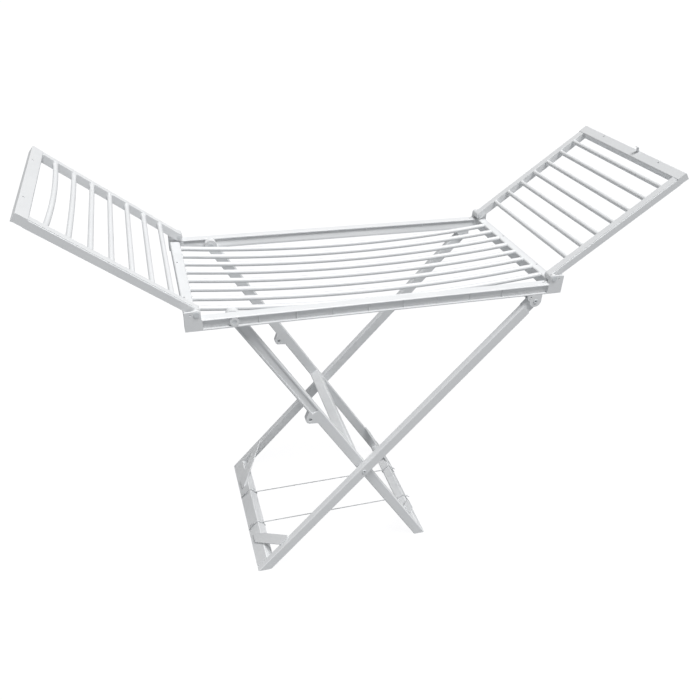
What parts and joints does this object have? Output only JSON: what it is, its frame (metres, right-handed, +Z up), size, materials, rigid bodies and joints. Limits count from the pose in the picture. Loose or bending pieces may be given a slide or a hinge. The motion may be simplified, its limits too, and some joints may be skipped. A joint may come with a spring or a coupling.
{
  "type": "clothes drying rack",
  "caption": "Folding winged clothes airer in white moulded plastic: crossed legs, a long deck of sagging rods and raised rod wings.",
  "frame": {"origin": "on the floor under the middle of the deck", "axes": "+X along the deck towards the outer legs' top hinge, +Y across the deck, +Z up"},
  "size_m": [1.8282, 0.554, 1.322],
  "materials": {
    "shell": "satin moulded polypropylene, cool white",
    "rod": "satin extruded polypropylene rod, cool white",
    "pin": "moulded acetal pin, pale grey white",
    "cord": "thin braided polyester cord, white"
  },
  "bodies": {
    "outer_legs": {"outer_leg_near": "shell", "outer_leg_far": "shell", "outer_foot_bar": "shell", "outer_brace_near": "shell", "outer_brace_far": "shell", "pivot_pins": "pin", "pivot_spacers": "shell", "cord_near": "cord", "cord_far": "cord"},
    "inner_legs": {"inner_leg_near": "shell", "inner_leg_far": "shell", "inner_crossbar": "shell", "inner_foot_bar": "shell", "inner_brace_near": "shell", "inner_brace_far": "shell"},
    "deck": {"side_rail_near": "shell", "side_rail_far": "shell", "end_rail_left": "shell", "end_rail_right": "shell", "corner_block_near_left": "shell", "corner_block_near_right": "shell", "corner_block_far_left": "shell", "corner_block_far_right": "shell", "deck_rod_1": "rod", "deck_rod_2": "rod", "deck_rod_3": "rod", "deck_rod_4": "rod", "deck_rod_5": "rod", "deck_rod_6": "rod", "deck_rod_7": "rod", "deck_rod_8": "rod", "leg_brackets": "shell", "clip_studs": "pin", "outer_top_pins": "pin", "left_wing_hinge_pins": "pin", "right_wing_hinge_pins": "pin"},
    "left_wing": {"left_wing_rail_near": "shell", "left_wing_rail_far": "shell", "left_wing_end_rail": "shell", "left_wing_rod_1": "rod", "left_wing_rod_2": "rod", "left_wing_rod_3": "rod", "left_wing_rod_4": "rod", "left_wing_rod_5": "rod", "left_wing_rod_6": "rod", "left_wing_rod_7": "rod"},
    "right_wing": {"right_wing_rail_near": "shell", "right_wing_rail_far": "shell", "right_wing_end_rail": "shell", "right_wing_rod_1": "rod", "right_wing_rod_2": "rod", "right_wing_rod_3": "rod", "right_wing_rod_4": "rod", "right_wing_rod_5": "rod", "right_wing_rod_6": "rod", "right_wing_rod_7": "rod", "rod_clip": "shell"}
  },
  "joints": [
    {"name": "leg_fold", "type": "hinge", "parent": "outer_legs", "child": "inner_legs", "pos_m": [-0.03265, 0, 0.37146], "axis": [0, 1, 0], "range_deg": [0, 73], "deforming": ["cord_near", "cord_far"]},
    {"name": "deck_fold", "type": "hinge", "parent": "outer_legs", "child": "deck", "pos_m": [0.4746, 0, 0.9408], "axis": [0, -1, 0], "range_deg": [0, 46.82]},
    {"name": "left_wing_fold", "type": "hinge", "parent": "deck", "child": "left_wing", "pos_m": [-0.5235, 0, 1.0105], "axis": [0, 1, 0], "range_deg": [0, 143]},
    {"name": "right_wing_fold", "type": "hinge", "parent": "deck", "child": "right_wing", "pos_m": [0.5235, 0, 1.0105], "axis": [0, -1, 0], "range_deg": [0, 143]}
  ],
  "couplings": [
    {"joint": "deck_fold", "follows": "leg_fold", "ratio": 0.64}
  ]
}
